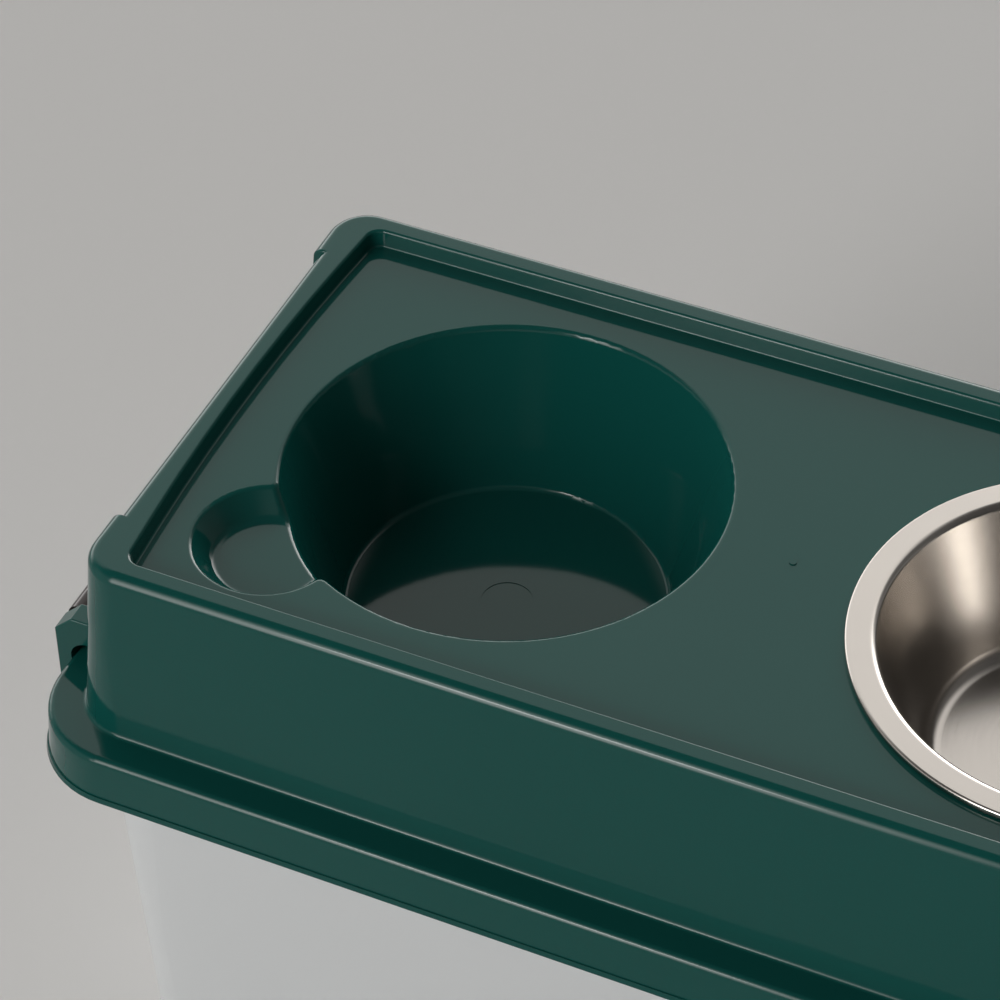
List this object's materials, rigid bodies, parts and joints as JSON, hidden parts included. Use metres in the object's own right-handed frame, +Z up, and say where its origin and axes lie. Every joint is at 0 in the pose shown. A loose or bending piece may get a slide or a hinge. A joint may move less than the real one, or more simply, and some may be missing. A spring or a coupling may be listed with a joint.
{
  "type": "elevated dog feeder with storage",
  "caption": "Raised pet feeder: moulded top with a rimmed deck, bowl wells and finger notches, over a frosted storage bin, with end latches and a steel bowl.",
  "frame": {"origin": "centre of the footprint, on the floor", "axes": "+X along the long side, from the empty well to the well that holds the bowl; +Z up; -Y is the side with the finger notches"},
  "size_m": [0.6268, 0.3238, 0.39],
  "materials": {
    "top_green": "dark green glossy injection-moulded polypropylene",
    "bin_frosted": "frosted translucent polypropylene",
    "seal_grey": "soft foam seal",
    "latch_dark": "dark brown-black moulded plastic",
    "bowl_steel": "satin spun stainless steel"
  },
  "bodies": {
    "bin": {"storage_bin": "bin_frosted"},
    "lid": {"feeder_top": "top_green", "lid_seal": "seal_grey"},
    "latch_left": {"left_latch": "latch_dark"},
    "latch_right": {"right_latch": "latch_dark"},
    "bowl": {"food_bowl": "bowl_steel"}
  },
  "joints": [
    {"name": "lid_lift", "type": "slide", "parent": "bin", "child": "lid", "axis": [0, 0, 1], "range_m": [0, 0.18]},
    {"name": "left_latch_swing", "type": "hinge", "parent": "lid", "child": "latch_left", "pos_m": [-0.30314, 0, 0.312], "axis": [0, 1, 0], "range_deg": [0, 110]},
    {"name": "right_latch_swing", "type": "hinge", "parent": "lid", "child": "latch_right", "pos_m": [0.30314, 0, 0.312], "axis": [0, -1, 0], "range_deg": [0, 110]},
    {"name": "bowl_lift", "type": "slide", "parent": "lid", "child": "bowl", "axis": [0, 0, 1], "range_m": [0, 0.11]}
  ]
}
